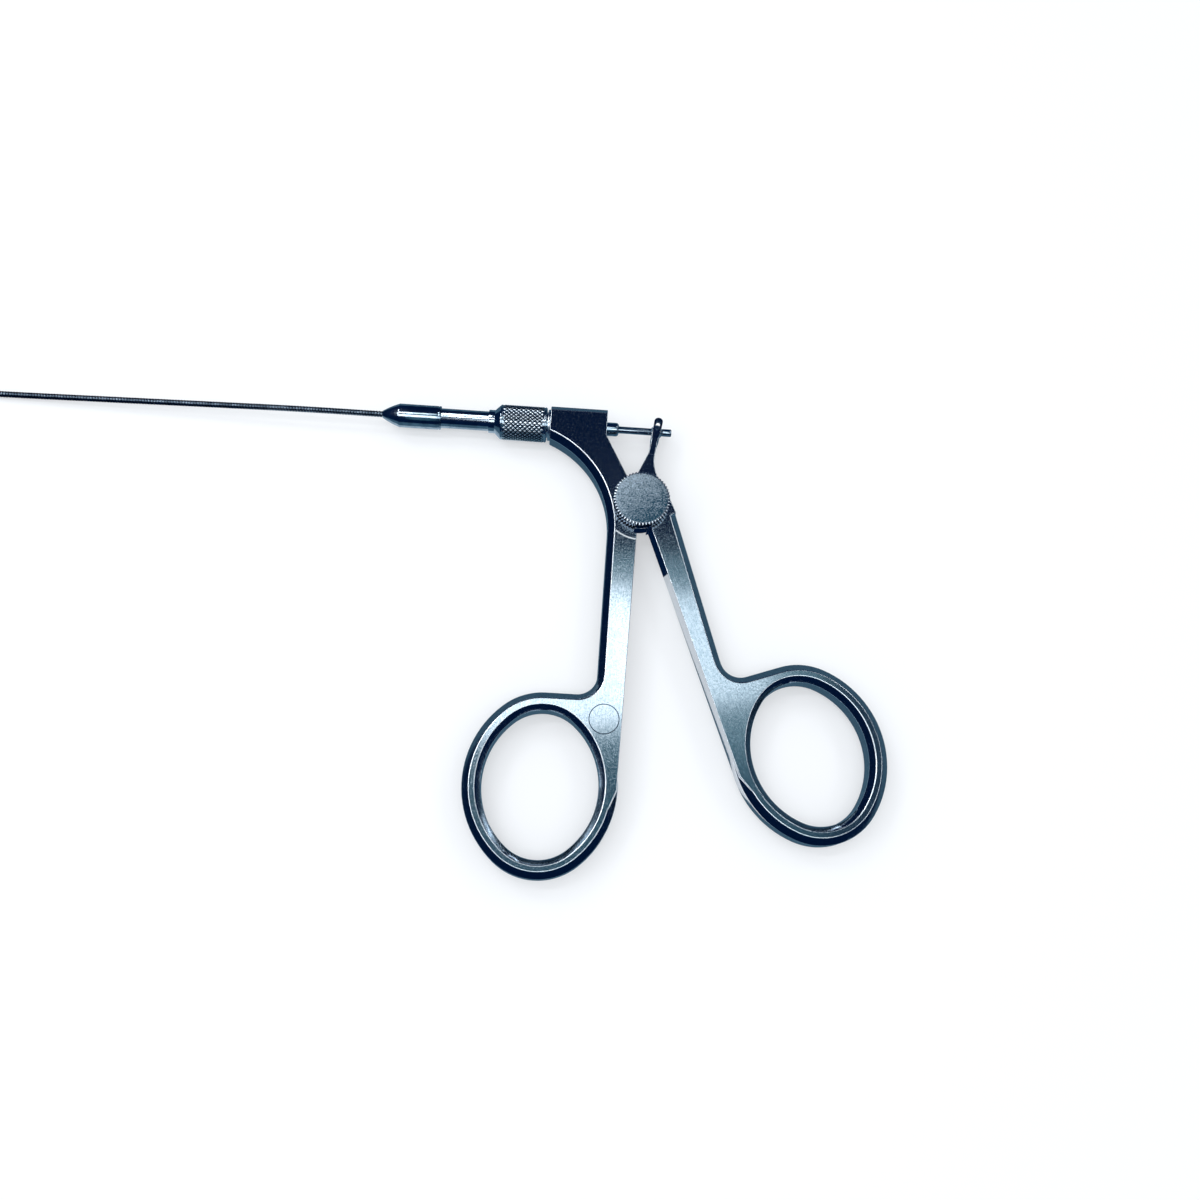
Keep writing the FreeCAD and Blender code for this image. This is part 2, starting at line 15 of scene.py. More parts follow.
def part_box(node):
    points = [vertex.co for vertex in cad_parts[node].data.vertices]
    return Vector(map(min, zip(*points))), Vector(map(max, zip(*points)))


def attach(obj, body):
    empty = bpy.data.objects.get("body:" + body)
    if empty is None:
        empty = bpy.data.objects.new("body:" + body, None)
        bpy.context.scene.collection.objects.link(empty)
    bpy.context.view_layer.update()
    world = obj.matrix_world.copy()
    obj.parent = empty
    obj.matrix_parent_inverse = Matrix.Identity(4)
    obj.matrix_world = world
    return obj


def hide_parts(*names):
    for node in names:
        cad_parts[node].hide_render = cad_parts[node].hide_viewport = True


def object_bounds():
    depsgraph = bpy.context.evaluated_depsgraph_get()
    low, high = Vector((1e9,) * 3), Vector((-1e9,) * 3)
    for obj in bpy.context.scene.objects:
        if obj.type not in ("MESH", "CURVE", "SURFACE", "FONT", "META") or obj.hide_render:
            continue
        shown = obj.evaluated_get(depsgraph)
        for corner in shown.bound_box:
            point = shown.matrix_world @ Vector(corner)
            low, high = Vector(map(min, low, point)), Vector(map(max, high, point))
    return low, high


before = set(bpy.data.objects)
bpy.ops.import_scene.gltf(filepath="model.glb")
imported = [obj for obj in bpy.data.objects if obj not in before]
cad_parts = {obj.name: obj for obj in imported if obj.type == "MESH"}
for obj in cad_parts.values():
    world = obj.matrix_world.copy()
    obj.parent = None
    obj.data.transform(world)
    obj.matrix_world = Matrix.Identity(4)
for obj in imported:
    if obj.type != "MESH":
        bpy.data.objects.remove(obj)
cad_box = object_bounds()
MM = 0.001
print("nodes", len(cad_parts))

# %% [markdown]
# ## Camera
# The photograph looks down at the instrument from a hand's height, tilted a little towards the rings. A
# track constraint would do, but a matrix from three directions also carries the small roll of the hand-held
# shot.

# %% Camera
scene = bpy.context.scene
camera_place = Vector((-13.27, -83.95, 235.41)) * MM
camera_aim = Vector((-6.758, -18.480, 0.0)) * MM
camera_roll = math.radians(9.058)
forward = (camera_aim - camera_place).normalized()
level = forward.cross(Vector((0, 0, 1))).normalized()
above = level.cross(forward)
right = level * math.cos(camera_roll) + above * math.sin(camera_roll)
upward = right.cross(forward)
camera_data = bpy.data.cameras.new("bench_camera")
camera_data.lens = 37.5
camera_data.sensor_width = 36.0
camera_data.clip_start = 0.01
camera = bpy.data.objects.new("bench_camera", camera_data)
facing = Matrix((right, upward, -forward)).transposed().to_4x4()
camera.matrix_world = Matrix.Translation(camera_place) @ facing
scene.collection.objects.link(camera)
scene.camera = camera
scene.view_settings.view_transform = "Standard"
print("camera to aim, mm", round((camera_aim - camera_place).length / MM, 1))

# %% [markdown]
# ## Small helpers
# Every finish below is a node tree, so one helper adds a node and sets its values by name, and one joins
# two sockets. A third turns a bmesh into a piece with smooth faces and crisp edges.


# %% Helpers for nodes and meshes
def add(tree, kind, **values):
    """Add a shader node. A value goes to the socket of that name, or else to the node's own property."""
    made = tree.nodes.new(kind)
    for key, value in values.items():
        socket = made.inputs.get(key.replace("_", " "))
        if socket is not None and not hasattr(made, key):
            socket.default_value = value
        else:
            setattr(made, key, value)
    return made


def join(tree, source, socket, target, entry):
    """Link an output, by name or number, to an input."""
    tree.links.new(source.outputs[socket], target.inputs[entry])


def new_finish(name):
    """An empty material with its output node."""
    material = bpy.data.materials.new(name)
    material.use_nodes = True
    tree = material.node_tree
    tree.nodes.clear()
    return material, tree, tree.nodes.new("ShaderNodeOutputMaterial")


def as_piece(name, shape, body, nodes=(), crease=35.0):
    """Turn a bmesh into a piece on a body. Faces are smooth, and edges past the crease angle stay crisp."""
    mesh = bpy.data.meshes.new(name)
    bmesh.ops.recalc_face_normals(shape, faces=shape.faces)
    shape.to_mesh(mesh)
    shape.free()
    mesh.shade_smooth()
    mesh.set_sharp_from_angle(angle=math.radians(crease))
    piece = bpy.data.objects.new(name, mesh)
    scene.collection.objects.link(piece)
    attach(piece, body)
    if nodes:
        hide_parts(*nodes)
    print(name, "faces", len(mesh.polygons))
    return piece


# %% [markdown]
# ## The bench and the sky
# Steel shows what stands round it more than its own colour. The bench and the sky are plain white. More
# light would make them white too, but it would also bleach the steel, so here the camera and the
# reflections see white and the light that falls on the object stays at a plain level. Light Path tells the
# kinds of ray apart.


# %% White bench and sky
def white_for_sight(tree):
    """One for camera, glossy and transmission rays, and nought for diffuse light."""
    path = add(tree, "ShaderNodeLightPath")
    first = add(tree, "ShaderNodeMath", operation="MAXIMUM")
    both = add(tree, "ShaderNodeMath", operation="MAXIMUM")
    join(tree, path, "Is Camera Ray", first, 0)
    join(tree, path, "Is Glossy Ray", first, 1)
    join(tree, first, 0, both, 0)
    join(tree, path, "Is Transmission Ray", both, 1)
    return both


world = bpy.data.worlds.new("white_room")
scene.world = world
world.use_nodes = True
sky = world.node_tree
sky.nodes.clear()
sky_out = sky.nodes.new("ShaderNodeOutputWorld")
sky_seen = add(sky, "ShaderNodeBackground", Color=(1, 1, 1, 1), Strength=1.0)
sky_light = add(sky, "ShaderNodeBackground", Color=(0.9, 0.95, 1, 1), Strength=0.7)
sky_mix = add(sky, "ShaderNodeMixShader")
join(sky, white_for_sight(sky), 0, sky_mix, 0)
join(sky, sky_light, 0, sky_mix, 1)
join(sky, sky_seen, 0, sky_mix, 2)
join(sky, sky_mix, 0, sky_out, "Surface")

bench_gap = 0.02
bench_top = cad_box[0][2] - bench_gap * MM
bench_finish, bench, bench_out = new_finish("white_bench")
bench_glow = add(bench, "ShaderNodeEmission", Color=(1, 1, 1, 1), Strength=0.42)
bench_shade = add(bench, "ShaderNodeBsdfDiffuse", Color=(0.52, 0.52, 0.53, 1))
bench_seen = add(bench, "ShaderNodeAddShader")
bench_plain = add(bench, "ShaderNodeBsdfDiffuse", Color=(0.8, 0.8, 0.8, 1))
bench_mix = add(bench, "ShaderNodeMixShader")
join(bench, bench_glow, 0, bench_seen, 0)
join(bench, bench_shade, 0, bench_seen, 1)
join(bench, white_for_sight(bench), 0, bench_mix, 0)
join(bench, bench_plain, 0, bench_mix, 1)
join(bench, bench_seen, 0, bench_mix, 2)
join(bench, bench_mix, 0, bench_out, "Surface")
bench_mesh = bpy.data.meshes.new("bench")
bench_reach = 3.0
bench_corners = [(-bench_reach, -bench_reach, bench_top), (bench_reach, -bench_reach, bench_top),
                 (bench_reach, bench_reach, bench_top), (-bench_reach, bench_reach, bench_top)]
bench_mesh.from_pydata(bench_corners, [], [(0, 1, 2, 3)])
bench_mesh.materials.append(bench_finish)
bench_object = bpy.data.objects.new("bench", bench_mesh)
scene.collection.objects.link(bench_object)
print("bench top, mm", round(bench_top / MM, 2))

# %% [markdown]
# ## Dark cards for the reflections
# For the dark bands that make steel read as steel, a studio puts dark cards just outside the picture. Here
# they form a tent: bands across the ceiling, a ring of walls, and mats on the bench round the instrument. A
# painted room image would do as well, but cards have a place and a size that can be read and moved. Only
# reflections see them: each is hidden from the camera, from diffuse light and from shadows.


# %% A dark card
cards = []


def flag(name, corners, colour):
    """A dark card that only reflections see. Its corners are in millimetres."""
    finish, tree, out = new_finish(name)
    glow = add(tree, "ShaderNodeEmission", Color=(*colour, 1), Strength=1.0)
    join(tree, glow, 0, out, "Surface")
    mesh = bpy.data.meshes.new(name)
    mesh.from_pydata([Vector(c) * MM for c in corners], [], [tuple(range(len(corners)))])
    mesh.materials.append(finish)
    card = bpy.data.objects.new(name, mesh)
    scene.collection.objects.link(card)
    card.visible_camera = False
    card.visible_diffuse = False
    card.visible_shadow = False
    card.visible_transmission = False
    cards.append(card)


def level_flag(name, outline, height, colour):
    """A card that lies level at a height."""
    flag(name, [(x, y, height) for x, y in outline], colour)


def oblong(left, right_side, near, far):
    """The outline of a rectangle, anticlockwise from its near left corner."""
    return [(left, near), (right_side, near), (right_side, far), (left, far)]


# %% The tent's ceiling and walls
navy = (0.001, 0.011, 0.045)
dim_navy = (0.02, 0.05, 0.09)
deep_teal = (0.05, 0.13, 0.18)
half_teal = (0.12, 0.24, 0.30)
teal = (0.19, 0.34, 0.40)
tent_height = 600.0
tent_reach = 900.0
right_edge = 165.0
left_edge = -150.0
left_ceiling_drop = 2.0
ceiling_bands = [("near", -tent_reach, 34.0, deep_teal), ("inner", 34.0, 50.0, half_teal),
                 ("middle", 50.0, 180.0, teal), ("far", 180.0, tent_reach, navy)]
for band, near, far, colour in ceiling_bands:
    level_flag(band + "_ceiling", oblong(-tent_reach, right_edge, near, far), tent_height, colour)
level_flag("right_ceiling", oblong(right_edge, tent_reach, -tent_reach, tent_reach), tent_height, dim_navy)
level_flag("left_ceiling", oblong(-tent_reach, left_edge, -tent_reach, tent_reach),
           tent_height - left_ceiling_drop, navy)
wall_panels = 16
for panel in range(wall_panels):
    start = 2 * math.pi * panel / wall_panels
    end = 2 * math.pi * (panel + 1) / wall_panels
    low = [(tent_reach * math.cos(a), tent_reach * math.sin(a), bench_top / MM) for a in (start, end)]
    high = [(tent_reach * math.cos(a), tent_reach * math.sin(a), tent_height) for a in (end, start)]
    flag("wall_flag_%02d" % panel, low + high, navy)
print("cards in the tent", len(cards))

# %% [markdown]
# ## Mats on the bench
# The bevels mirror the bench, and in the photograph they are dark but for those that face the gap between
# the legs. The mats leave that gap open: four pieces reach from its corners to an oblong round the handles,
# and four more from the oblong to the walls. A pale card lies under the barrels and a dark one in the
# crotch of the legs, where the photograph is lighter and darker than the rest.

# %% Mats round the gap between the legs
mat_grey = (0.07, 0.14, 0.20)
pale_grey = (0.42, 0.52, 0.60)
mat_z = bench_top / MM + 0.03
upper_mat_z = mat_z + 0.02
mat_reach = 80.0
near_reach = mat_reach * 1.2
gap_between_legs = [(3.5, -8.0), (0.5, -30.0), (2.0, -72.0), (24.5, -64.0)]
mat_corners = [(mat_reach, mat_reach), (-mat_reach, mat_reach), (-mat_reach, -near_reach),
               (mat_reach, -near_reach)]
far_corners = [(tent_reach * sx, tent_reach * sy) for sx, sy in ((1, 1), (-1, 1), (-1, -1), (1, -1))]
for part in range(4):
    after = (part + 1) % 4
    inner = [mat_corners[part], mat_corners[after], gap_between_legs[after], gap_between_legs[part]]
    level_flag("mat_flag_%d" % part, inner, mat_z, mat_grey)
    outer = [mat_corners[part], mat_corners[after], far_corners[after], far_corners[part]]
    level_flag("far_mat_flag_%d" % part, outer, mat_z, navy)
level_flag("barrel_mat_flag", oblong(-78.0, -24.0, 10.2, 15.5), upper_mat_z, pale_grey)
level_flag("crotch_mat_flag", oblong(-6.0, 8.0, -13.0, -3.5), upper_mat_z, navy)
print("dark cards in all", len(cards))

# %% [markdown]
# ## Lamps
# The tops of the handles mirror a small part of the ceiling, where the main and second lamps lie. A long
# lamp lies over the shaft and barrels, a wide one on the near side, two far behind, and one leans in from
# each side. Point lamps would give sparks, so all are soft rectangles. Each is set by how bright its face
# looks, so that a change of its size leaves its reflection as bright as it was.


# %% Lamps
def lamp(name, place, size, turn, radiance, colour, lean=0.0):
    """A soft rectangular lamp that looks down, or leans. Its power follows from brightness and area."""
    data = bpy.data.lights.new(name, "AREA")
    data.shape = "RECTANGLE"
    data.size = size[0] * MM
    data.size_y = size[1] * MM
    data.energy = radiance * math.pi * data.size * data.size_y
    data.color = colour
    light = bpy.data.objects.new(name, data)
    light.location = Vector(place) * MM
    light.rotation_euler = (0, -math.radians(lean), math.radians(turn))
    scene.collection.objects.link(light)


cool_white = (0.9, 0.96, 1.0)
lamp_height = tent_height - 8.0
lamp("main_lamp", (-18, 99, lamp_height), (116, 96), 11.0, 1.95, (0.97, 0.985, 1.0))
lamp("second_lamp", (74, 112, lamp_height - 2), (96, 78), 11.0, 1.4, (0.92, 0.97, 1.0))
lamp("shaft_lamp", (-275, 84, lamp_height - 4), (390, 44), 0.0, 10.0, (0.93, 0.97, 1.0))
lamp("near_lamp", (-40, -190, lamp_height), (620, 220), 0.0, 2.2, cool_white)
lamp("far_left_lamp", (-430, 390, lamp_height), (280, 260), 0.0, 6.0, cool_white)
lamp("far_right_lamp", (430, 390, lamp_height), (240, 240), 0.0, 3.0, cool_white)
lamp("left_lamp", (-470, -60, 500), (120, 380), 0.0, 3.2, cool_white, lean=43)
lamp("right_lamp", (470, -60, 500), (120, 380), 0.0, 2.4, cool_white, lean=-43)

# %% [markdown]
# ## Steel finishes
# All the steel is one metal with different surfaces. Pictures of steel would need unwrapping and would blur
# close by. Noise in the object's own space needs neither, so each finish is built from it: noise gives the
# tint, the roughness and a very shallow bump. These helpers take up what the finishes share. Each hands on
# an output socket, and takes either a socket or a plain value.


# %% Helpers for finishes
def feed(tree, value, entry):
    """Link an output socket to an entry, or set the entry to a plain value."""
    if isinstance(value, bpy.types.NodeSocket):
        tree.links.new(value, entry)
    else:
        entry.default_value = value


def new_surface(name, metallic=1.0):
    """A new finish with its shader, and the socket that gives places in the object's own space."""
    finish, tree, out = new_finish(name)
    surface = add(tree, "ShaderNodeBsdfPrincipled", Metallic=metallic)
    join(tree, surface, 0, out, "Surface")
    where = add(tree, "ShaderNodeTexCoord").outputs["Object"]
    return finish, tree, surface, where


def mapped(tree, where, **values):
    """The places, turned or stretched."""
    made = add(tree, "ShaderNodeMapping", vector_type="POINT", **values)
    feed(tree, where, made.inputs["Vector"])
    return made.outputs["Vector"]


def noise(tree, where, **values):
    """Noise at the places, from nought to one."""
    made = add(tree, "ShaderNodeTexNoise", **values)
    feed(tree, where, made.inputs["Vector"])
    return made.outputs["Fac"]


def reckon(tree, operation, *values):
    """A math node on two or three values."""
    made = add(tree, "ShaderNodeMath", operation=operation)
    for value, entry in zip(values, made.inputs):
        feed(tree, value, entry)
    return made.outputs[0]


def mixed(tree, kind, share, first, second):
    """A mix of two values, kind FLOAT, or of two colours, kind RGBA."""
    made = add(tree, "ShaderNodeMix", data_type=kind)
    entry, result = {"FLOAT": (2, 0), "RGBA": (6, 2)}[kind]
    feed(tree, share, made.inputs[0])
    feed(tree, first, made.inputs[entry])
    feed(tree, second, made.inputs[entry + 1])
    return made.outputs[result]


def spread(tree, value, low, high, start=0.0, end=1.0):
    """The value, spread from low to high between its start and its end."""
    made = add(tree, "ShaderNodeMapRange", From_Min=start, From_Max=end, To_Min=low, To_Max=high)
    feed(tree, value, made.inputs["Value"])
    return made.outputs[0]


def two_tone(tree, value, dark, bright, start=0.0, end=1.0):
    """A dark colour up to the start, a bright one from the end, and a ramp between."""
    made = add(tree, "ShaderNodeValToRGB")
    for stop, position, colour in zip(made.color_ramp.elements, (start, end), (dark, bright)):
        stop.position = position
        stop.color = (*colour, 1)
    feed(tree, value, made.inputs["Fac"])
    return made.outputs["Color"]


def fine_bump(tree, surface, value, strength, distance):
    """A shallow bump on the surface. The distance is in metres."""
    made = add(tree, "ShaderNodeBump", Strength=strength, Distance=distance)
    feed(tree, value, made.inputs["Height"])
    join(tree, made, "Normal", surface, "Normal")


def distance_from(tree, where, centre, axes):
    """How far each place is from a centre in millimetres, measured along the axes that are one."""
    offset = add(tree, "ShaderNodeVectorMath", operation="SUBTRACT")
    feed(tree, where, offset.inputs[0])
    offset.inputs[1].default_value = Vector(centre) * MM
    flat = add(tree, "ShaderNodeVectorMath", operation="MULTIPLY")
    flat.inputs[1].default_value = axes
    join(tree, offset, 0, flat, 0)
    length = add(tree, "ShaderNodeVectorMath", operation="LENGTH")
    join(tree, flat, 0, length, 0)
    return length.outputs["Value"]


# %% [markdown]
# ## Satin steel of the handles
# The legs are brushed along their length and look faintly mottled. Long thin noise gives the scratches, and
# round noise of about half a millimetre gives the mottling and the uneven gloss. The left leg also has an
# engraved ring, and a thin bright arc round the pivot that is a painted highlight. Both are painted on by
# their distance from a centre, since a groove this shallow would need far more faces than it shows.


# %% Satin steel, engraved ring and painted highlight arc
def engraved_ring(tree, where, centre, radius, half_width):
    """One on a thin circle line round a centre (x, y), and nought elsewhere."""
    distance = distance_from(tree, where, (*centre, 0), (1, 1, 0))
    return reckon(tree, "COMPARE", distance, radius * MM, half_width * MM)


def painted_highlight_arc(tree, where):
    """One on the thin arc round the pivot where a highlight is painted, only on the near side and on the flat
    of the leg.
    """
    ring = engraved_ring(tree, where, (0.0, 0.0), highlight_arc_radius, highlight_arc_half_width)
    parts = add(tree, "ShaderNodeSeparateXYZ")
    feed(tree, where, parts.inputs[0])
    near_side = reckon(tree, "LESS_THAN", parts.outputs["Y"], 0.0)
    on_flat = reckon(tree, "GREATER_THAN", parts.outputs["X"], flat_left_edge * MM)
    return reckon(tree, "MULTIPLY", reckon(tree, "MULTIPLY", ring, near_side), on_flat)


def satin_handle_steel(name, leg_angle, marked=False):
    """Satin steel with scratches along the leg. If it is marked, it has the ring and the painted highlight
    arc too.
    """
    finish, tree, steel, where = new_surface(name)
    along_leg = mapped(tree, where, Rotation=(0, 0, -math.radians(leg_angle)))
    stretched = mapped(tree, along_leg, Scale=scratch_stretch)
    scratches = noise(tree, stretched, Scale=1.0, Detail=4.0, Roughness=0.6)
    clouds = noise(tree, where, Scale=1900.0, Detail=4.0, Roughness=0.65, Distortion=0.3)
    both = mixed(tree, "FLOAT", 0.5, clouds, scratches)
    tint = two_tone(tree, both, (0.34, 0.41, 0.47), (0.54, 0.59, 0.65), 0.38, 0.62)
    specks = noise(tree, where, Scale=3000.0, Detail=3.0, Roughness=0.7)
    sheen = spread(tree, specks, 0.07, 0.22, 0.45, 0.70)
    if marked:
        groove = engraved_ring(tree, where, ring_centre, ring_radius, ring_half_width)
        tint = mixed(tree, "RGBA", groove, tint, (0.02, 0.04, 0.07, 1))
        # The arc round the pivot is a painted highlight: near white, and rougher.
        highlight_arc_mask = painted_highlight_arc(tree, where)
        tint = mixed(tree, "RGBA", highlight_arc_mask, tint, (0.98, 0.99, 1.0, 1))
        sheen = mixed(tree, "FLOAT", highlight_arc_mask, sheen, 0.55)
    feed(tree, tint, steel.inputs["Base Color"])
    feed(tree, sheen, steel.inputs["Roughness"])
    fine_bump(tree, steel, scratches, 0.10, 0.00002)
    return finish


scratch_stretch = (5200, 420, 3000)
ring_centre = (-4.96, -42.99)
ring_radius = 2.8
ring_half_width = 0.09
highlight_arc_radius = 7.5
highlight_arc_half_width = 0.15
flat_left_edge = -4.6
left_leg_angle = -2.0
right_leg_angle = 21.6
fixed_steel = satin_handle_steel("fixed_handle_steel", left_leg_angle, marked=True)
moving_steel = satin_handle_steel("moving_handle_steel", right_leg_angle)
print("satin finishes", fixed_steel.name, moving_steel.name)

# %% [markdown]
# ## Turned steel
# Lathe work carries hair-fine rings round its axis. An anisotropic shader would stretch the highlights in
# the same way, but noise squeezed along X also shows the single rings close by. The same finish with other
# colours does for the barrels; for the burnished edges and the knob's bevel, tinted paler than plain steel as
# a painted highlight; and for the coil's wire, tinted far darker as painted shade.


# %% Turned steel
def turned_steel(name, dark, bright, rough):
    """Polished steel with hair-fine rings round an axis along X."""
    finish, tree, steel, where = new_surface(name)
    rings = noise(tree, mapped(tree, where, Scale=ring_stretch), Scale=1.0, Detail=3.0, Roughness=0.5)
    clouds = noise(tree, where, Scale=500.0, Detail=4.0)
    feed(tree, two_tone(tree, clouds, dark, bright, 0.35, 0.65), steel.inputs["Base Color"])
    feed(tree, spread(tree, rings, *rough), steel.inputs["Roughness"])
    fine_bump(tree, steel, rings, 0.12, 0.00001)
    return finish


ring_stretch = (14000, 600, 600)
barrel_steel = turned_steel("barrel_steel", (0.38, 0.47, 0.55), (0.66, 0.74, 0.82), (0.08, 0.17))
# The edge rounds are burnished and also tinted paler than plain steel: a painted highlight.
edge_painted_highlight = turned_steel("burnished_edge_painted_highlight", (0.8, 0.86, 0.92), (0.97, 0.98, 1.0), (0.2, 0.32))
# The knob's bevel is tinted paler than plain steel: a painted highlight.
knob_rim_painted_highlight = turned_steel("knob_rim_painted_highlight", (0.7, 0.77, 0.84), (0.95, 0.97, 1.0), (0.2, 0.32))
print("finishes so far", len(bpy.data.materials))


# %% [markdown]
# ## The handles
# The CAD solids have the right outline and flat bevels, but their edges are perfectly sharp, and a sharp
# edge catches no light. A bevel modifier would do it too, but it can't pass over the edges that are too
# short to round. So each handle's mesh is copied, its flat faces are merged, and only the sharp edges whose
# neighbours are long enough get a small round. The round, with a tint paler than plain steel as a painted
# highlight, is what draws the thin bright line along the arm in the photograph.


# %% Softened copies of the forged pieces
def softened_copy(node, name, body, finishes, radius):
    """A copy of a CAD solid with its sharp edges rounded. The second finish goes on the rounds."""
    shape = bmesh.new()
    shape.from_mesh(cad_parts[node].data)
    bmesh.ops.remove_doubles(shape, verts=shape.verts, dist=weld_gap * MM)
    bmesh.ops.dissolve_limit(shape, angle_limit=flat_angle, verts=shape.verts, edges=shape.edges)
    sharp = []
    for edge in shape.edges:
        if len(edge.link_faces) == 2 and edge.calc_face_angle(0) > sharp_angle:
            near = [other.calc_length() for corner in edge.verts for other in corner.link_edges]
            if min(near) > shortest_edge * MM:
                sharp.append(edge)
    bmesh.ops.bevel(shape, geom=sharp, offset=radius * MM, offset_type="OFFSET", segments=3, profile=0.5,
                    affect="EDGES", clamp_overlap=False, miter_outer="ARC", material=1)
    piece = as_piece(name, shape, body, [node], crease=60.0)
    for finish in finishes:
        piece.data.materials.append(finish)
    even = piece.modifiers.new("flat_faces_stay_flat", "WEIGHTED_NORMAL")
    even.weight = 100
    even.keep_sharp = True
    print(name, "edges rounded", len(sharp))


weld_gap = 0.02
flat_angle = math.radians(0.5)
sharp_angle = math.radians(24)
shortest_edge = 0.2
handle_edge = 0.13
softened_copy("fixed_handle", "fixed_handle_forging", "fixed_frame",
              [fixed_steel, edge_painted_highlight], handle_edge)
softened_copy("moving_handle", "moving_handle_forging", "thumb_handle",
              [moving_steel, edge_painted_highlight], handle_edge)


# %% [markdown]
# ## Turned pieces
# Barrels, bush, rod and ball are lathe work. A cylinder for each step would leave every corner sharp.
# Instead a profile of points is spun round the axis, as on a lathe, and each corner of the profile is eased
# by a hair, as a turner breaks an edge, so that it shows as a fine bright ring.


# %% Lathe
def eased(profile, ease):
    """The same profile with each corner cut by a small flat."""
    points = [Vector(p) for p in profile]
    out = [points[0]]
    for before, here, after in zip(points, points[1:], points[2:]):
        back = before - here
        on = after - here
        cut = min(ease, back.length * 0.4, on.length * 0.4)
        out.append(here + back.normalized() * cut)
        out.append(here + (back.normalized() + on.normalized()) * cut * 0.3)
        out.append(here + on.normalized() * cut)
    out.append(points[-1])
    return out


def spin(profile, centre, segments=72):
    """A bmesh made by spinning (x, radius) points round an axis along X through a centre (y, z)."""
    shape = bmesh.new()
    on_axis = 1e-6
    rows = []
    for x, r in profile:
        if r < on_axis:
            rows.append([shape.verts.new((x * MM, centre[0] * MM, centre[1] * MM))])
            continue
        row = []
        for step in range(segments):
            turn = 2 * math.pi * step / segments
            spot = (x, centre[0] + r * math.cos(turn), centre[1] + r * math.sin(turn))
            row.append(shape.verts.new(Vector(spot) * MM))
        rows.append(row)
    for row, following in zip(rows, rows[1:]):
        for step in range(segments):
            later = (step + 1) % segments
            if len(row) == 1 and len(following) == 1:
                continue
            if len(row) == 1:
                shape.faces.new((row[0], following[later], following[step]))
            elif len(following) == 1:
                shape.faces.new((row[step], row[later], following[0]))
            else:
                shape.faces.new((row[step], row[later], following[later], following[step]))
    return shape


def turned_piece(name, profile, body, nodes, ease=0.12, finish=barrel_steel):
    """A turned piece. The profile starts and ends on the axis, or at one point if the piece is a tube."""
    shape = spin(eased(profile, ease), (axis_y, axis_z))
    bmesh.ops.remove_doubles(shape, verts=shape.verts, dist=profile_weld * MM)
    piece = as_piece(name, shape, body, nodes)
    piece.data.materials.append(finish)


def span(node):
    """The x range of a node in millimetres."""
    low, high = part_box(node)
    return low.x / MM, high.x / MM


def radius_of(node):
    """Half a node's width along Y, in millimetres."""
    low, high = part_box(node)
    return (high.y - low.y) / 2 / MM


def plain_cylinder(node):
    """The profile of a cylinder that fills a node's box."""
    x, back = span(node)
    r = radius_of(node)
    return [(x, 0), (x, r), (back, r), (back, 0)]


profile_weld = 0.0001
barrel_low, barrel_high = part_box("front_barrel")
axis_y = (barrel_low.y + barrel_high.y) / 2 / MM
axis_z = (barrel_low.z + barrel_high.z) / 2 / MM
print("barrel axis y, z in mm", round(axis_y, 3), round(axis_z, 3))

# %% [markdown]
# ## Barrels and seat ring
# The front barrel has a nose like a bullet that grips the coil, and a fine groove near its back. The rear
# barrel is slimmer and ends in a flange that the nut pulls on. Both are bored, because the rod and the wire
# run through them and must touch nothing. The nose is a straight cone with half a sine wave of swelling on
# it.

# %% Front barrel
front_x, front_back = span("front_barrel")
front_r = radius_of("front_barrel")
nose_length = 3.4
nose_tip_r = 0.72
nose_swell = 0.12
nose_steps = 12
coil_seat_r = 0.64
coil_seat_length = 4.6
bore_r = 1.15
groove_x = front_back - 0.5
groove_back = front_back - 0.3
groove_r = front_r - 0.08
front_profile = [(front_x, coil_seat_r)]
for step in range(nose_steps + 1):
    share = step / nose_steps
    r = nose_tip_r + (front_r - nose_tip_r) * share + nose_swell * math.sin(share * math.pi)
    front_profile.append((front_x + nose_length * share, r))
front_profile += [(groove_x, front_r), (groove_x, groove_r)]
front_profile += [(groove_back, groove_r), (groove_back, front_r)]
front_profile += [(front_back, front_r), (front_back, bore_r), (front_x + coil_seat_length, bore_r)]
front_profile += [(front_x + coil_seat_length, coil_seat_r), (front_x, coil_seat_r)]
turned_piece("nose_barrel", front_profile, "fixed_frame", ["front_barrel"], ease=0.06)

# %% Rear barrel and seat ring
rear_x, rear_back = span("rear_barrel")
rear_r = 1.95
flange_r = radius_of("rear_barrel")
flange_x = rear_back - 1.0
overlap = 0.02
rear_start = rear_x - overlap
rear_profile = [(rear_start, bore_r), (rear_start, rear_r), (flange_x, rear_r), (flange_x, flange_r)]
rear_profile += [(rear_back, flange_r), (rear_back, bore_r), (rear_start, bore_r)]
turned_piece("slim_barrel", rear_profile, "fixed_frame", ["rear_barrel"])
seat_profile = plain_cylinder("seat_ring")
# The seat ring takes the pale edge finish, a painted highlight.
turned_piece("bright_seat_ring", seat_profile, "fixed_frame", ["seat_ring"], finish=edge_painted_highlight)

# %% [markdown]
# ## Bush, rod and ball
# Behind the head the rod leaves a guide bush and ends in a ball, which the forked lever pulls, with a short
# tail behind it. The ball could be an icosphere, but as a turned half circle its rings lie as a lathe
# leaves them.

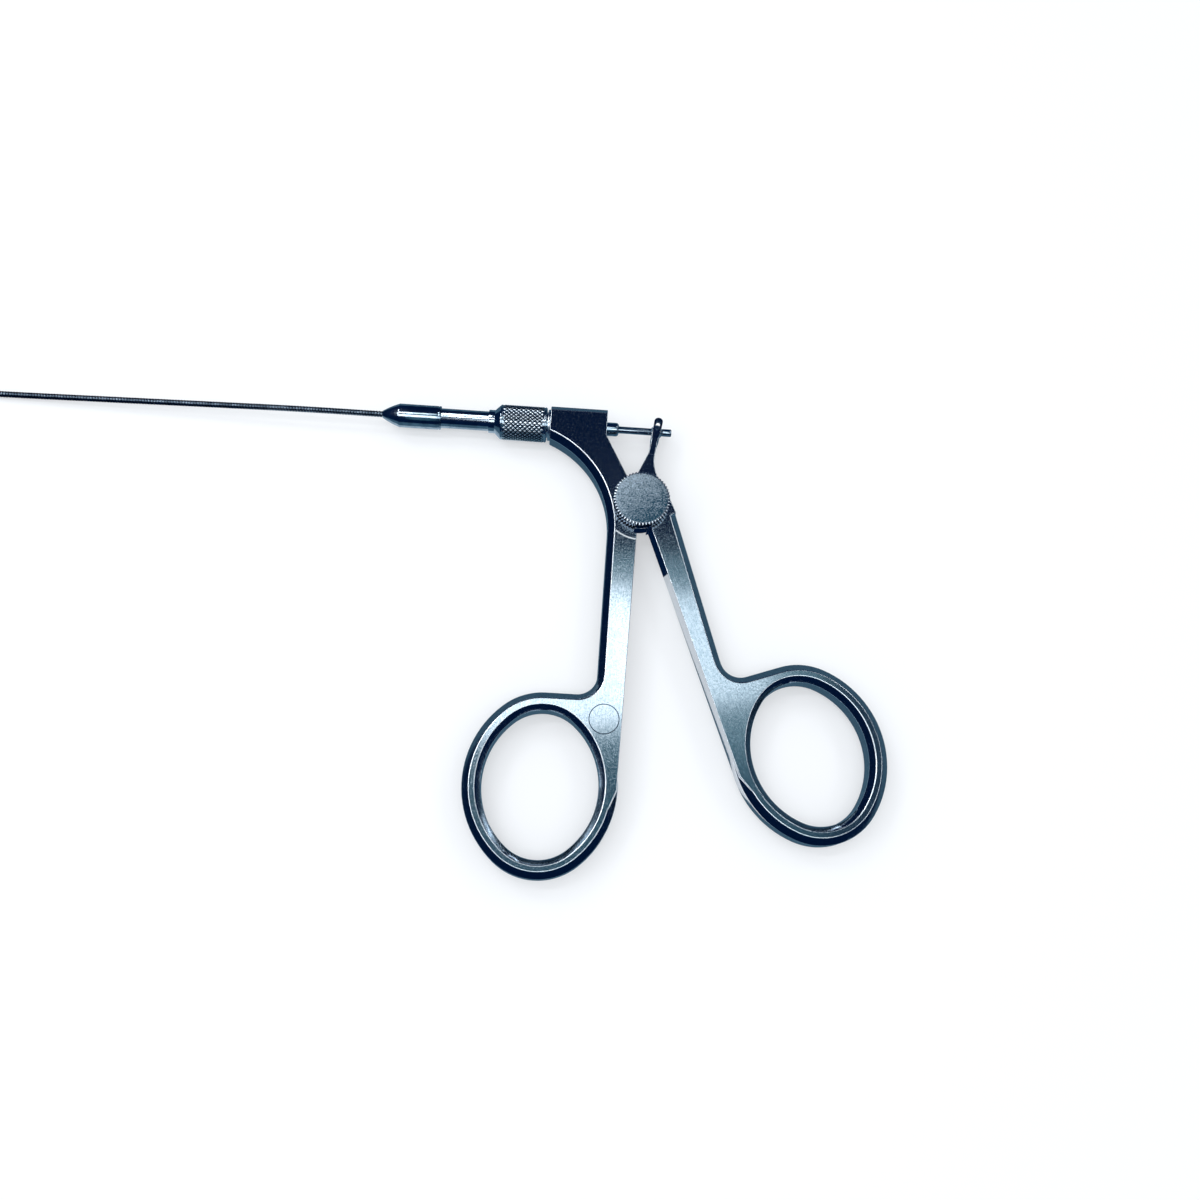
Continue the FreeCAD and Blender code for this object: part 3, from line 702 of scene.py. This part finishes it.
# %% Bush, rod, ball and tail
bush_x, bush_back = span("rear_bush")
bush_r = radius_of("rear_bush")
bush_chamfer = 0.35
bush_bore_r = 0.76
bush_bore_x = bush_back - 1.0
bush_profile = [(bush_x, 0), (bush_x, bush_r), (bush_back - bush_chamfer, bush_r)]
bush_profile += [(bush_back, bush_r - bush_chamfer), (bush_back, bush_bore_r), (bush_bore_x, bush_bore_r)]
bush_profile += [(bush_bore_x, 0)]
turned_piece("guide_bush", bush_profile, "fixed_frame", ["rear_bush"])
turned_piece("bright_rod", plain_cylinder("pull_rod"), "pull_train", ["pull_rod"])
ball_low, ball_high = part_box("rod_ball")
ball_x = (ball_low.x + ball_high.x) / 2 / MM
ball_r = radius_of("rod_ball")
ball_steps = 24
ball_profile = [(ball_x - ball_r, 0)]
for step in range(1, ball_steps):
    turn = math.pi * step / ball_steps
    ball_profile.append((ball_x - ball_r * math.cos(turn), ball_r * math.sin(turn)))
ball_profile.append((ball_x + ball_r, 0))
turned_piece("fork_ball", ball_profile, "pull_train", ["rod_ball"], ease=0.0)
turned_piece("ball_tail", plain_cylinder("rod_tail"), "pull_train", ["rod_tail"], ease=0.2)


# %% [markdown]
# ## Steel of the knurl
# The knurl's tint is bright on its crests, a painted highlight, and nearly black in its grooves, painted
# shade.
# One finish for the tops and one for the slopes would do, but a tint that follows the distance from the nut's
# axis also fades as a groove deepens, and some noise in it keeps the pyramids from looking all alike.


# %% Steel of the knurl, with painted shade and highlight
def knurl_painted_shade_and_highlight(name, axis, root_radius, crest_radius):
    """Steel painted bright on its crests as a highlight and dark in its grooves as shade, by distance from an
    axis along X.
    """
    finish, tree, steel, where = new_surface(name)
    distance = distance_from(tree, where, (0, *axis), (0, 1, 1))
    depth = spread(tree, distance, 0.0, 1.0, root_radius * MM, crest_radius * MM)
    speckle = noise(tree, where, Scale=1500.0, Detail=3.0)
    groove_shade_and_speckle = reckon(tree, "MULTIPLY_ADD", speckle, 0.5, depth)
    # Painted shade darkens the grooves, and a painted highlight brightens the crests.
    tint = two_tone(tree, groove_shade_and_speckle, (0.006, 0.02, 0.045), (0.88, 0.95, 1.0), 0.5, 1.0)
    feed(tree, tint, steel.inputs["Base Color"])
    feed(tree, spread(tree, speckle, 0.2, 0.34), steel.inputs["Roughness"])
    return finish


# %% [markdown]
# ## The knurled coupling nut
# A knurl is two sets of helical grooves rolled into the nut, which leave rows of small pyramids with flat
# tops. A bump map would leave the outline smooth, so here each pyramid is real: four corners low in the
# grooves and a small flat top. The lattice is laid out in turns and lengths, then wrapped round the nut.


# %% Diamond knurl
def diamond_knurl(x_low, x_high, outer, depth, around, along, centre, top=0.27):
    """A sleeve of pyramids, on a lattice with two lines to a pyramid. Top is how far a lid reaches."""
    shape = bmesh.new()
    rows = 2 * along
    columns = 2 * around
    corners = {}

    def spot(row, column, radius):
        turn = 2 * math.pi * column / columns
        x = x_low + (x_high - x_low) * row / rows
        return Vector((x, centre[0] + radius * math.cos(turn), centre[1] + radius * math.sin(turn))) * MM

    def corner(row, column):
        key = (row, column % columns)
        if key not in corners:
            corners[key] = shape.verts.new(spot(row, column, outer - depth))
        return corners[key]

    for row in range(0, rows + 1):
        for column in range(columns):
            if (row + column) % 2:
                continue
            if row in (0, rows):
                inner = 1 if row == 0 else rows - 1
                shape.faces.new((corner(row, column - 1), corner(row, column + 1), corner(inner, column)))
                continue
            ring = [corner(row - 1, column), corner(row, column + 1), corner(row + 1, column),
                    corner(row, column - 1)]
            reach = [(-top, 0), (0, top), (top, 0), (0, -top)]
            lid = [shape.verts.new(spot(row + up, column + on, outer)) for up, on in reach]
            for side in range(4):
                after = (side + 1) % 4
                shape.faces.new((ring[side], ring[after], lid[after], lid[side]))
            shape.faces.new(lid)
    return shape


nut_x, nut_back = span("coupling_nut")
nut_r = radius_of("coupling_nut")
neck_r = 2.3
neck_length = 1.2
cone_end = nut_x + 2.4
knurl_x = cone_end + 0.35
knurl_back = nut_back - 0.45
knurl_depth = 0.11
knurl_around = 26
knurl_along = 9
root_r = nut_r - knurl_depth
nut_axis = (axis_y, axis_z)
knurl = diamond_knurl(knurl_x, knurl_back, nut_r, knurl_depth, knurl_around, knurl_along, nut_axis)
knurl_piece = as_piece("nut_knurl", knurl, "nut", ["coupling_nut"], crease=12.0)
knurl_piece.data.materials.append(knurl_painted_shade_and_highlight("nut_knurl_painted_shade_and_highlight", nut_axis, root_r, nut_r))
print("knurl pitch, mm", round((knurl_back - knurl_x) / knurl_along, 3))

# %% [markdown]
# ## The nut's body
# The knurl is only a sleeve. Under it sits a turned body: a neck and a cone in front, a plain collar on
# each side of the knurl that stands just under its crests, and a hollow at the back where the head's spigot
# goes in.

# %% Body of the nut
collar_r = nut_r - 0.02
cone_r = nut_r - 0.05
collar_slope = 0.06
back_bevel = 0.15
back_r = nut_r - 0.3
hollow_r = 2.55
hollow_x = nut_back - 1.0
nut_profile = [(nut_x, 0), (nut_x, neck_r), (nut_x + neck_length, neck_r), (cone_end, cone_r)]
nut_profile += [(knurl_x - collar_slope, collar_r), (knurl_x, root_r), (knurl_back, root_r)]
nut_profile += [(knurl_back + collar_slope, collar_r), (nut_back - back_bevel, collar_r)]
nut_profile += [(nut_back, back_r), (nut_back, hollow_r), (hollow_x, hollow_r), (hollow_x, 0)]
turned_piece("nut_body", nut_profile, "nut", [], ease=0.05)


# %% [markdown]
# ## Blasted steel of the knob's face
# The face was blasted with grit: fine pits and soft patches. A bump by itself would leave it one tone, so the
# pits tint the steel and roughen it too. Painted light makes the tint a little brighter to the far left, as
# in the photograph.


# %% Blasted steel of the knob's face, with painted light
def blasted_knob_steel_with_painted_light(name):
    """The knob's matt face: fine pits and soft patches, with painted light brighter towards the far left."""
    finish, tree, steel, where = new_surface(name)
    grain = noise(tree, where, Scale=3400.0, Detail=2.0, Roughness=0.6)
    patches = noise(tree, where, Scale=900.0, Detail=4.0, Roughness=0.6, Distortion=0.3)
    pitted = reckon(tree, "MULTIPLY_ADD", grain, 0.7, reckon(tree, "MULTIPLY", patches, 0.3))
    # Painted light: the tint grows brighter towards the far left.
    across = add(tree, "ShaderNodeVectorMath", operation="DOT_PRODUCT")
    feed(tree, where, across.inputs[0])
    across.inputs[1].default_value = painted_light_towards
    lit = reckon(tree, "ADD", across.outputs["Value"], pitted)
    tint = two_tone(tree, lit, (0.03, 0.09, 0.14), (0.66, 0.76, 0.84), 0.38, 0.68)
    feed(tree, tint, steel.inputs["Base Color"])
    feed(tree, spread(tree, grain, 0.38, 0.6), steel.inputs["Roughness"])
    fine_bump(tree, steel, grain, 0.5, 0.00003)
    return finish


painted_light_towards = (-12.0, 20.0, 0.0)
knob_steel = blasted_knob_steel_with_painted_light("knob_steel")
print("blasted finish", knob_steel.name)


# %% [markdown]
# ## The thumb screw
# The screw's head is a coin with fine straight teeth rolled round its rim, a bright bevel and a matt face.
# Each ring of points follows the teeth at its own depth, so the teeth fade into the bevel as they do on the
# real one.


# %% Toothed knob
def toothed_knob(levels, teeth):
    """Rings of points at (height, radius, tooth depth), closed to the centre at the top and bottom."""
    shape = bmesh.new()
    samples = 6
    wave = (0.0, 0.5, 1.0, 1.0, 0.5, 0.0)
    count = teeth * samples
    rows = []
    for height, radius, depth in levels:
        row = []
        for step in range(count):
            turn = 2 * math.pi * step / count
            r = radius - depth * (1 - wave[step % samples])
            row.append(shape.verts.new(Vector((r * math.cos(turn), r * math.sin(turn), height)) * MM))
        rows.append(row)
    for row, following in zip(rows, rows[1:]):
        for step in range(count):
            later = (step + 1) % count
            shape.faces.new((row[step], row[later], following[later], following[step]))
    for row in (rows[0], rows[-1]):
        height = row[0].co.z
        middle = shape.verts.new((0, 0, height))
        for step in range(count):
            shape.faces.new((row[step], row[(step + 1) % count], middle))
    return shape


screw_low, screw_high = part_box("pivot_screw")
knob_r = (screw_high.x - screw_low.x) / 2 / MM
knob_top = screw_high.z / MM
knob_low = knob_top - 2.4
knob_teeth = 53
tooth = 0.28
under_steps = [(0.0, 0.45, 0.0), (0.0, 0.35, 0.0), (0.22, 0.02, 1.0)]
top_steps = [(0.22, 0.0, 1.0), (0.17, 0.04, 1.0), (0.03, 0.38, 0.7), (0.005, 0.52, 0.0), (0.0, 0.62, 0.0)]
knob_levels = [(knob_low + up, knob_r - inward, tooth * share) for up, inward, share in under_steps]
knob_levels += [(knob_top - down, knob_r - inward, tooth * share) for down, inward, share in top_steps]
knob_levels.append((knob_top, knob_r * 0.5, 0.0))
knob = as_piece("thumb_knob", toothed_knob(knob_levels, knob_teeth), "thumb_screw",
                ["pivot_screw"], crease=28.0)

# %% [markdown]
# ## The knob's three finishes and its shank
# The teeth's sides are tinted dark as painted shade, the bevel is burnished and tinted paler than plain steel
# as a painted highlight, and the face is blasted, so faces take their finish by height. The shank below is
# the axle of both handles. It is spun about X like the other turned work, and its points are then swapped
# round so that it stands upright on the pivot.

# %% Finishes of the knob, and the shank
face_depth = 0.02
side_depth = 0.21
# The teeth's sides get a dark tint, painted shade.
knob_side_painted_shade = turned_steel("knob_side_painted_shade", (0.05, 0.08, 0.12), (0.15, 0.2, 0.26), (0.08, 0.17))
for finish in (knob_rim_painted_highlight, knob_steel, knob_side_painted_shade):
    knob.data.materials.append(finish)
for face in knob.data.polygons:
    if face.center.z > (knob_top - face_depth) * MM:
        face.material_index = 1
    elif face.center.z < (knob_top - side_depth) * MM:
        face.material_index = 2
shank_foot = 0.3
thread_r = 1.7
thread_top = 2.7
shank_r = 2.0
shank_profile = [(shank_foot, 0), (shank_foot, thread_r), (thread_top, thread_r), (thread_top, shank_r)]
shank_profile += [(knob_low, shank_r), (knob_low, 0)]
shank_shape = spin(eased(shank_profile, 0.1), (0, 0), 48)
for vertex in shank_shape.verts:
    vertex.co = Vector((vertex.co.y, vertex.co.z, vertex.co.x))
shank = as_piece("screw_shank", shank_shape, "thumb_screw")
shank.data.materials.append(barrel_steel)


# %% [markdown]
# ## The coil shaft
# The shaft is a tight spring: one flattened wire wound turn against turn. Turn by turn its back shows as a
# row of fine ridges with a broken highlight. A bump map would keep the outline smooth, and a curve with a
# round bevel would make the wire round. So the helix is swept as real wire: a small ring of points is
# carried along a spiral that follows the shaft's own line. That line runs level out of the barrel, slopes
# to the bench, and then lies straight along it.


# %% The shaft's line
coil_low, coil_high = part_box("coil_sheath")
coil_r = 0.62
low_z = coil_low.z / MM + coil_r
level_length = 16.0
slope_length = 62.0
ease_length = 9.0
drop_start = front_x - level_length
drop_end = drop_start - slope_length


def shaft_height(x):
    """Height of the coil's middle line: level, a long slope, then level on the bench."""
    slope = (axis_z - low_z) / (drop_start - drop_end)
    height = axis_z - slope * (drop_start - x)
    height = min(axis_z, max(low_z, height))
    for knee, sign in ((drop_start, -1), (drop_end, 1)):
        near = abs(x - knee)
        if near < ease_length:
            height += sign * slope * (ease_length - near) ** 2 / (4 * ease_length)
    return height


print("the shaft falls, mm", round(axis_z - low_z, 2))


# %% The wound wire
def wound_coil(x_high, x_low, pitch, around, section):
    """A swept helix of flattened wire. Around is its steps to a turn, and section its corners."""
    shape = bmesh.new()
    turns = int((x_high - x_low) / pitch)
    steps = turns * around
    mean = coil_r - wire_thick
    rings = []
    for step in range(steps + 1):
        x = x_high - (x_high - x_low) * step / steps
        turn = 2 * math.pi * step / around
        outward = Vector((0, math.cos(turn), math.sin(turn)))
        middle = Vector((x, axis_y, shaft_height(x))) + outward * mean
        ring = []
        for part in range(section):
            swing = 2 * math.pi * part / section
            aside = Vector((wire_wide * math.sin(swing), 0, 0))
            spot = middle + outward * wire_thick * math.cos(swing) + aside
            ring.append(shape.verts.new(spot * MM))
        rings.append(ring)
    for ring, following in zip(rings, rings[1:]):
        for part in range(section):
            later = (part + 1) % section
            shape.faces.new((ring[part], ring[later], following[later], following[part]))
    shape.faces.new(rings[0])
    shape.faces.new(rings[-1])
    return shape


wire_thick = 0.12
wire_wide = 0.28
coil_pitch = 0.58
steps_to_a_turn = 14
wire_corners = 8
# The wire is tinted far darker than the other steel: painted shade.
coil_painted_shade_finish = turned_steel("coil_wire_painted_shade", (0.08, 0.11, 0.15), (0.24, 0.29, 0.35), (0.1, 0.18))
coil_shape = wound_coil(coil_high.x / MM, coil_low.x / MM, coil_pitch, steps_to_a_turn, wire_corners)
coil = as_piece("wound_coil", coil_shape, "fixed_frame", ["coil_sheath"], crease=60.0)
coil.data.materials.append(coil_painted_shade_finish)

# %% [markdown]
# ## Rubber of the seal
# A small seal ring sits hidden in the nut. Rubber is no metal: it is nearly black, and so rough that it has
# hardly any highlight. A plain colour would do, and a fine grain is only a little more work.


# %% Rubber of the seal
def seal_rubber_finish(name):
    """Dull black rubber with a fine grain."""
    finish, tree, rubber, where = new_surface(name, metallic=0.0)
    grain = noise(tree, where, Scale=3000.0, Detail=3.0)
    tint = two_tone(tree, grain, (0.012, 0.012, 0.013), (0.05, 0.05, 0.052))
    feed(tree, tint, rubber.inputs["Base Color"])
    feed(tree, spread(tree, grain, 0.55, 0.8), rubber.inputs["Roughness"])
    return finish


rubber_finish = seal_rubber_finish("rubber_finish")
print("rubber finish", rubber_finish.name)

# %% [markdown]
# ## The working end and the small hidden pieces
# Their solids already have the true shape, so they stay and take the finish that fits them. The jaws are
# satin like the handles, the pins, the clevis and the pieces inside the barrels are polished, and the seal
# is rubber.


# %% Finishes for the pieces that stay
def dress(nodes, finish):
    """Give CAD nodes a finish."""
    for name in nodes:
        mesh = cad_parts[name].data
        mesh.materials.clear()
        mesh.materials.append(finish)


jaw_steel = satin_handle_steel("jaw_steel", 90.0)
polished_nodes = ["pivot_washer", "threaded_spigot", "cross_pin", "wire_clamp", "drive_tongue", "drive_pin",
                  "jaw_housing", "jaw_pin", "end_ferrule", "pull_wire"]
dress(["upper_jaw", "lower_jaw"], jaw_steel)
dress(polished_nodes, barrel_steel)
dress(["shaft_seal"], rubber_finish)
print("CAD pieces that stay", len(polished_nodes) + 3)
